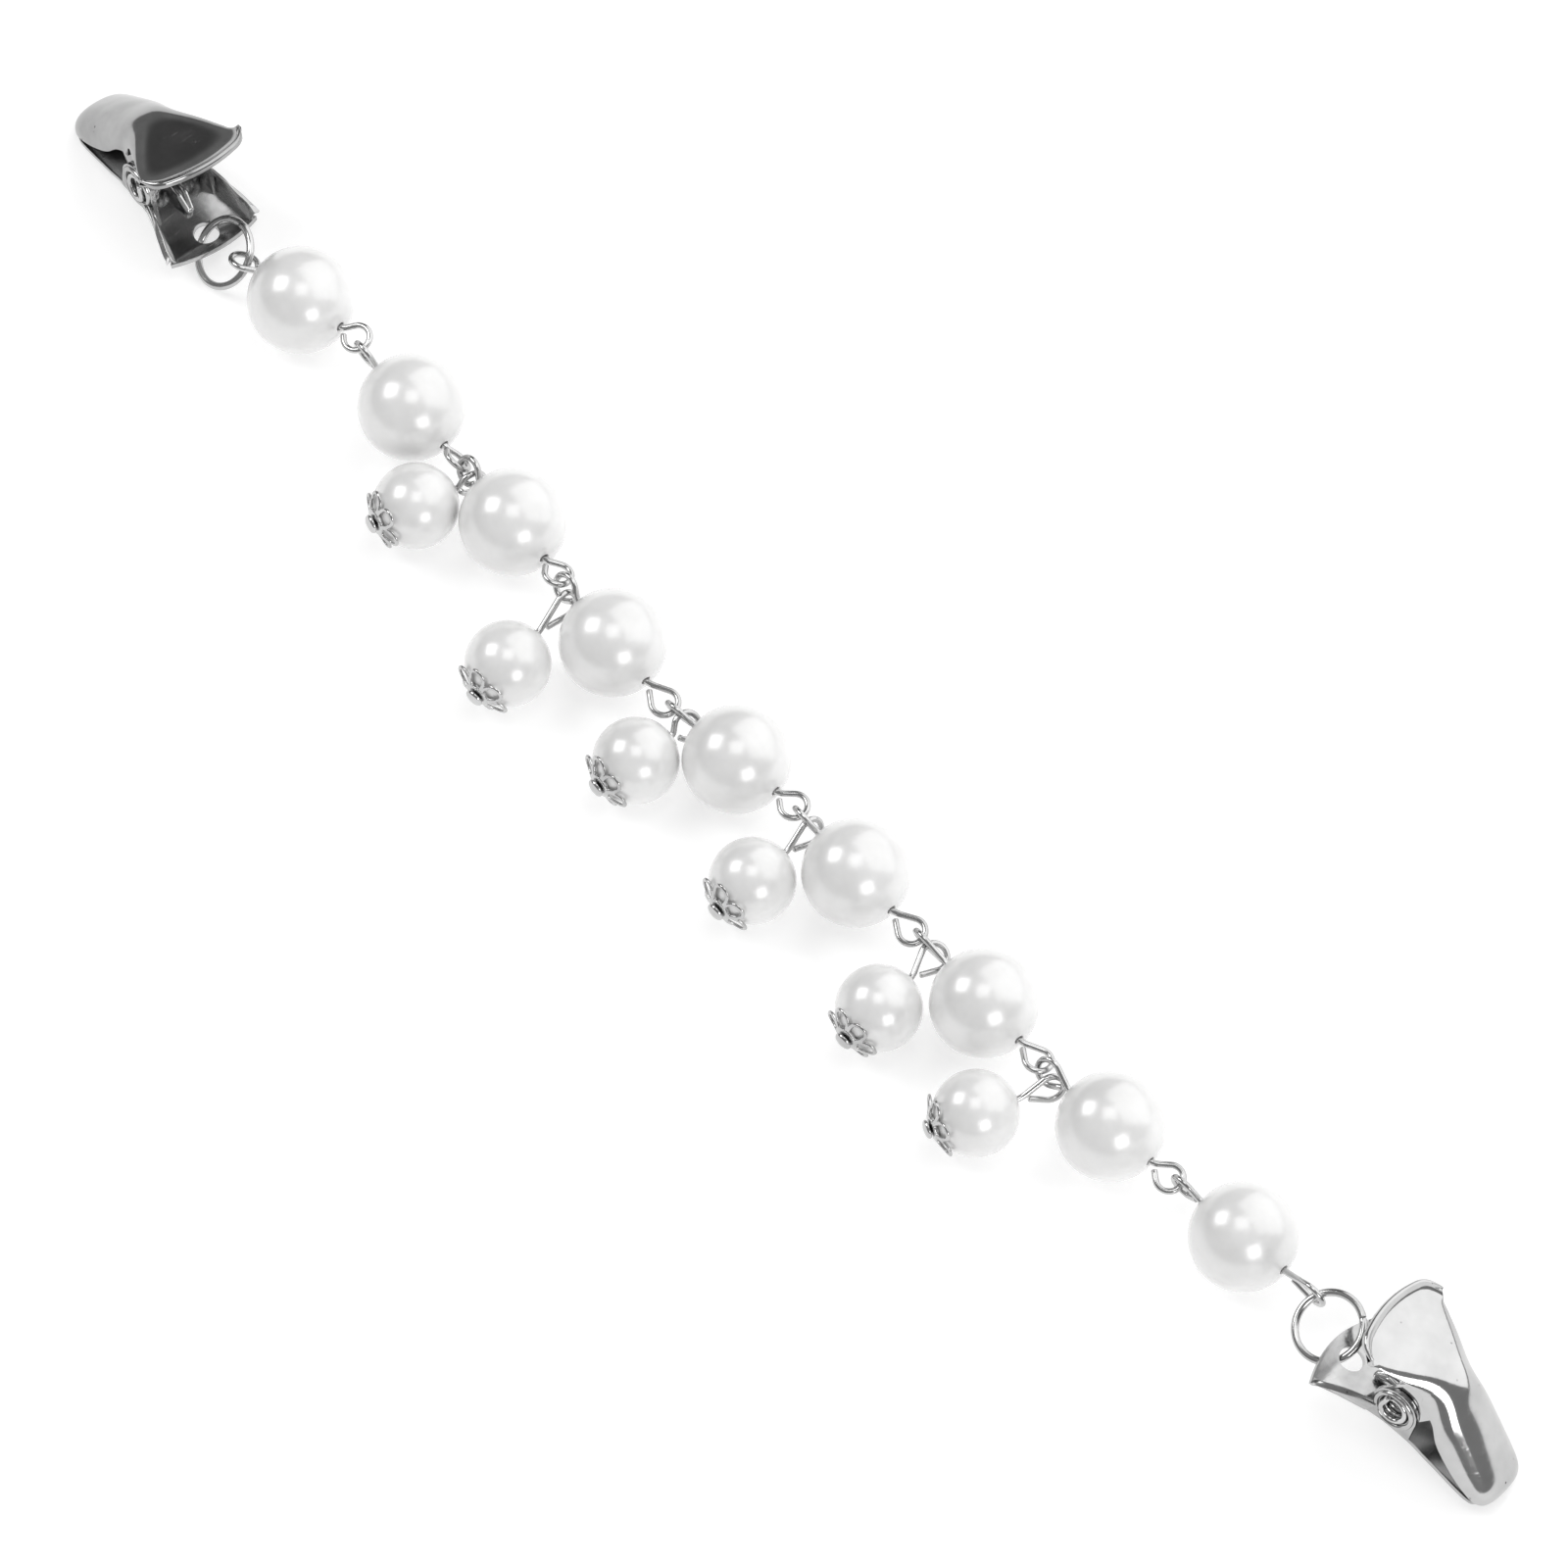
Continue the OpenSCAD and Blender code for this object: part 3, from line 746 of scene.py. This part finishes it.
def eased(rows, at):
    # Value of every column at x = at, by a cubic that never overshoots its rows
    i = max(0, min(len(rows) - 2, sum(1 for r in rows[1:] if r[0] > at)))
    h = rows[i][0] - rows[i + 1][0]
    t = (rows[i][0] - at) / h
    out = []
    for c in range(1, len(rows[0])):
        m0, m1 = steepness(rows, c, i) * h, steepness(rows, c, i + 1) * h
        p0, p1 = rows[i][c], rows[i + 1][c]
        out.append((2 * t ** 3 - 3 * t ** 2 + 1) * p0 + (t ** 3 - 2 * t ** 2 + t) * m0
                   + (3 * t ** 2 - 2 * t ** 3) * p1 + (t ** 3 - t ** 2) * m1)
    return out


def stations(rows, step):
    out = []
    for a, b in zip(rows, rows[1:]):
        count = max(2, math.ceil((a[0] - b[0]) / step))
        out += [a[0] + (b[0] - a[0]) * i / count for i in range(count)]
    return out + [rows[-1][0]]


def gridShape(rows):
    columns = len(rows[0])
    faces = [(i * columns + k, i * columns + k + 1, (i + 1) * columns + k + 1,
              (i + 1) * columns + k) for i in range(len(rows) - 1) for k in range(columns - 1)]
    return [p for row in rows for p in row], faces


def sheetMade(name, rows, thickness, facing):
    # A grid of points becomes sheet metal that grows away from its outer face
    made = bpy.data.objects.new(name, bpy.data.meshes.new(name))
    verts, faces = gridShape(rows)
    made.data.from_pydata([tuple(v) for v in verts], [], faces)
    bpy.context.collection.objects.link(made)
    made.data.update()
    middle = made.data.polygons[len(faces) // 2]
    if middle.normal.dot(facing) < 0:
        made.data.flip_normals()
    grow = made.modifiers.new("sheet", "SOLIDIFY")
    grow.thickness, grow.offset, grow.use_even_offset = thickness, -1.0, False
    return applied(made)


def smoothed(rows, x, reach):
    # The rows' own curve, evened out over a few millimetres but true at both ends
    reach = min(reach, 0.8 * (rows[0][0] - x), 0.8 * (x - rows[-1][0]))
    if reach < 0.02:
        return eased(rows, x)
    total, out = 0.0, [0.0] * (len(rows[0]) - 1)
    for i in range(-8, 9):
        weight = 0.5 + 0.5 * math.cos(math.pi * i / 9)
        total += weight
        out = [o + weight * v for o, v in zip(out, eased(rows, x + reach * i / 8))]
    return [o / total for o in out]


def coverRow(plan, x):
    # The arch is one smooth surface, trimmed below to the lower edge
    arch = [(r[0], r[1], r[3], r[4], r[5], r[6]) for r in plan["rows"]]
    width, shoulder, crown, depth, bow = smoothed(arch, x, plan["evened"])
    low = smoothed([(r[0], r[2]) for r in plan["rows"]], x, plan["edgeEvened"])[0]
    power, row = 2 / plan["squareness"], []
    share = min(max((low - shoulder + depth) / depth, 0.0), 0.9)
    edge = math.acos(share ** (1 / power))
    start, widest = plan["cornerFrom"], math.sin(edge) ** power
    rounding = plan["corner"] * max(0.0, min(1.0, (plan["cornerStart"] - x) / plan["cornerRun"]))
    for k in range(plan["columns"] + 1):
        a = edge * (2 * k / plan["columns"] - 1)
        s = math.copysign(abs(math.sin(a)) ** power, a)
        c = max(math.cos(a), 0.0) ** power
        turn = rounding * max(0.0, (abs(s) / widest - start) / (1 - start)) ** 2.5
        row.append(Vector((x - bow * (1 - s * s) + turn, width * s,
                           shoulder - depth * (1 - c) + crown * (1 - s * s))))
    for end in (row[0], row[-1]):
        end.z = min(end.z, low)
    return row


def hemRows(plan, tail):
    # The tail's edge turned down over a small radius, less so at its corners
    out, last = [], len(tail) - 1
    for degrees, drop in ((22, 0), (44, 0), (66, 0), (90, 0), (90, 0.5), (90, 1)):
        a, row = math.radians(degrees), []
        for k, p in enumerate(tail):
            along = unit(tail[min(k + 1, last)] - tail[max(k - 1, 0)])
            r = plan["hemRadius"] * min(1.0, 0.25 + 0.75 * min(k, last - k) / plan["hemFade"])
            lowered = r * (1 - math.cos(a)) + drop * plan["hemDrop"] * r / plan["hemRadius"]
            row.append(p + Vector((-along.y, along.x, 0)) * r * math.sin(a)
                       - Vector((0, 0, lowered)))
        out.append(row)
    return out


def earSpan(plan, side):
    return sorted((side * plan["earY"][0], side * plan["earY"][1]))


def earShape(name, y0, y1, radius, foot, collar=None):
    ear = toObject(name, prism(roundOutline(radius, 72), y0, y1))
    joined(ear, [toObject("foot", prism(foot, y0 + 0.001, y1 - 0.001))])
    bore = roundOutline(clipPlan["boreRadius"], 64)
    joined(ear, [toObject("bore", prism(bore, y0 - 1, y1 + 1))], "DIFFERENCE")
    softened(ear, 0.09, 2, 50)
    if collar:
        at, ring, wire = collar
        profile = [(at + q, ring + p) for p, q in roundOutline(wire, 16)]
        gathered(ear, [toObject("collar", lathe(profile, 72, "Y"))])
    return ear


def makeLever(plan):
    rows = [coverRow(plan, x) for x in stations(plan["rows"], plan["step"])]
    cover = sheetMade("cover", rows + hemRows(plan, rows[-1]), plan["sheet"], Vector((0, 0, 1)))
    softened(cover, 0.12, 3, 60)
    parts = []
    for side in (-1, 1):
        y0, y1 = earSpan(plan, side)
        parts.append(earShape("leverEar", y0, y1, plan["earRadius"], plan["earFoot"]))
    return gathered(cover, parts)


def baseLevel(plan, x):
    return eased(plan["line"], max(x, plan["line"][-1][0]))[0]


def makeBase(plan):
    rows = []
    for x in stations(plan["rows"], 0.25):
        width, bow = eased(plan["rows"], x)
        row = []
        for k in range(33):
            s = -1 + 2 * k / 32
            px = x - bow * (1 - s * s)
            row.append(Vector((px, width * s, baseLevel(plan, px))))
        rows.append(row)
    plate = sheetMade("plate", rows, plan["sheet"], Vector((0, 0, -1)))
    hole = [(plan["holeAt"] + p, q) for p, q in roundOutline(plan["holeRadius"], 64)]
    joined(plate, [toObject("hole", prism(hole, -9, 0, "Z"))], "DIFFERENCE")
    softened(plate, 0.10, 3, 50)
    parts = []
    for side in (-1, 1):
        rail = []
        for x in stations(plan["wing"], 0.25):
            fy, fz, ry, rz, oy, oz = eased(plan["wing"], x)
            foot, ridge = Vector((x, side * fy, fz)), Vector((x, side * ry, rz))
            outer = Vector((x, side * oy, oz))
            rail.append(bent([foot, foot.lerp(ridge, 0.5), ridge, ridge.lerp(outer, 0.5), outer],
                             0.34, 5))
        wing = sheetMade("wing", rail, plan["sheet"] * 0.85, Vector((0, -side, 0.3)))
        parts.append(softened(wing, 0.08, 2, 55))
        y0, y1 = earSpan(plan, side)
        parts.append(earShape("baseEar", y0, y1, plan["earRadius"], plan["earFoot"],
                              (side * (plan["earY"][1] + 0.02), plan["collarRadius"],
                               plan["collarWire"])))
    return gathered(plate, parts)


springPlan = {
    "wire": 0.275, "coil": 1.175, "pitch": 0.62, "outer": 3.75, "turns": 5 + 1 / 3, "steps": 40,
    "legTop": (-1.30, 3.80, 1.05), "legFoot": (-1.20, 3.78, 0.5), "wayDown": (-1.9, -1.9),
    "bridge": (-2.75, -3.25), "sides": 12,
}


def springShape(plan, side):
    total = round(plan["turns"] * plan["steps"])
    inner = plan["outer"] - plan["pitch"] * plan["turns"]
    coil = []
    for i in range(total + 1):
        a = math.pi + 2 * math.pi * i / plan["steps"]
        coil.append(Vector((plan["coil"] * math.cos(a),
                            plan["outer"] - plan["pitch"] * i / plan["steps"],
                            plan["coil"] * math.sin(a))))
    leg = bent([Vector(plan["legTop"]), Vector(plan["legFoot"]), coil[0]], 0.6)[:-1]
    low = [coil[-1], Vector((plan["wayDown"][0], inner - 0.1, plan["wayDown"][1])),
           Vector((plan["bridge"][0], inner - 0.25, plan["bridge"][1])),
           Vector((plan["bridge"][0], 0.0, plan["bridge"][1]))]
    path = leg + coil + bent(low, 0.16)[1:]
    path = [Vector((p.x, side * p.y, p.z)) for p in path]
    radii = [plan["wire"]] * len(path)
    path, radii = roundedEnd(path, radii, True)
    return sweep(path, radii, plan["sides"])


leverMaster, baseMaster = makeLever(leverPlan), makeBase(basePlan)
print("stage: clip sheets formed")
for name, (centre, turn) in zip("ab", clipPlan["places"]):
    stand = setDown(centre, turn[2], turn[1], turn[0])
    lever = bpy.data.objects.new(f"clipLever{name.upper()}", leverMaster.data.copy())
    base = bpy.data.objects.new(f"clipBase{name.upper()}", baseMaster.data.copy())
    for made in (lever, base):
        bpy.context.collection.objects.link(made)
    finishPiece(lever, stand, f"lever_{name}", clipPlan["covers"][name],
                [f"clip_{name}_lever"], 38)
    # the base takes the rougher, darker nickel, whose darker tone is painted shade
    finishPiece(base, stand, "strand", "nickelInsidePaintedShade", [f"clip_{name}_base"], 38)
    for side, word in ((1, "Left"), (-1, "Right")):
        spring = toObject(f"coilSpring{word}{name.upper()}", springShape(springPlan, side))
        finishPiece(spring, stand, None, "springSteel", (), 50)
        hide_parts(f"clip_{name}_spring")
        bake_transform(spring)
for master in (leverMaster, baseMaster):
    bpy.data.objects.remove(master)
print("stage: clips made")


# Floor, light and surroundings

studioPlan = {
    "floorSize": 6.0,
    "floorTone": grey(0.60),
    "floorGlow": 0.52,
    "wall": 0.27,
    "roof": 0.30,
    "dark": 0.11,
    "darkTowards": (-0.500, 0.400, 0.768),
    "reach": 0.6,
    # direction, width, height, brightness
    "panels": [((0.058, -0.051, 0.99), 0.28, 0.28, 2.0),
               ((-0.618, -0.334, 0.712), 0.27, 0.27, 4.6),
               ((0.880, -0.243, 0.410), 0.25, 0.25, 4.6),
               ((0.110, 0.760, 0.640), 1.02, 0.84, 1.25)],
}


def makeFloor(plan):
    half, steps = plan["floorSize"] / 2, 24
    rows = [[Vector((-half + plan["floorSize"] * i / steps, -half + plan["floorSize"] * k / steps,
                     0.0)) for k in range(steps + 1)] for i in range(steps + 1)]
    verts, faces = gridShape(rows)
    floor = bpy.data.objects.new("paleFloor", bpy.data.meshes.new("paleFloor"))
    floor.data.from_pydata([tuple(v) for v in verts], [], [f[::-1] for f in faces])
    bpy.context.collection.objects.link(floor)
    made, g = newMaterial("paleCard")
    spot = g.node("ShaderNodeTexCoord", output=3)
    fibre = g.node("ShaderNodeTexNoise", {}, {"Vector": spot, "Scale": 900.0, "Detail": 3.0})
    tone = g.mixed(fibre, plan["floorTone"], grey(plan["floorTone"][0] * 0.985))
    shader = g.node("ShaderNodeBsdfPrincipled", {}, {
        "Base Color": tone, "Roughness": 0.85, "Emission Color": (1.0, 1.0, 1.0, 1.0),
        "Emission Strength": plan["floorGlow"]})
    g.finish(shader)
    floor.data.materials.append(made)


def makeWorld(plan):
    world = bpy.data.worlds.new("studio")
    world.use_nodes = True
    bpy.context.scene.world = world
    g = Graph(world.node_tree)
    towards = g.node("ShaderNodeTexCoord", output=0)
    height = g.node("ShaderNodeSeparateXYZ", {}, {0: towards}, 2)
    sky = g.node("ShaderNodeMapRange", {"interpolation_type": "SMOOTHSTEP"},
                 {"Value": height, "From Min": 0.15, "From Max": 0.9,
                  "To Min": plan["wall"], "To Max": plan["roof"]})
    angle = g.node("ShaderNodeVectorMath", {"operation": "DOT_PRODUCT"},
                   {0: towards, 1: plan["darkTowards"]}, 1)
    flag = g.node("ShaderNodeMapRange", {"interpolation_type": "SMOOTHSTEP"},
                  {"Value": angle, "From Min": 0.82, "From Max": 0.95, "To Min": 0.0,
                   "To Max": 1.0})
    level = sky * (1 - flag) + plan["dark"] * flag
    shader = g.node("ShaderNodeBackground", {}, {"Color": (1.0, 1.0, 1.0, 1.0),
                                                 "Strength": level})
    g.finish(shader, "ShaderNodeOutputWorld")


def makePanels(plan):
    for i, (direction, width, height, brightness) in enumerate(plan["panels"], 1):
        away = unit(Vector(direction))
        data = bpy.data.lights.new(f"softPanel{i}", "AREA")
        data.shape, data.size, data.size_y = "RECTANGLE", width, height
        data.energy = brightness * width * height * math.pi
        panel = bpy.data.objects.new(f"softPanel{i}", data)
        panel.location = away * plan["reach"]
        panel.rotation_mode = "QUATERNION"
        panel.rotation_quaternion = (-away).to_track_quat("-Z", "Y")
        panel.visible_camera = False
        bpy.context.collection.objects.link(panel)


makeFloor(studioPlan)
makeWorld(studioPlan)
makePanels(studioPlan)
bpy.context.scene.view_settings.view_transform = "Standard"
bpy.context.scene.view_settings.look = "None"
bpy.context.scene.view_settings.exposure = 0.0
print("stage: studio set")
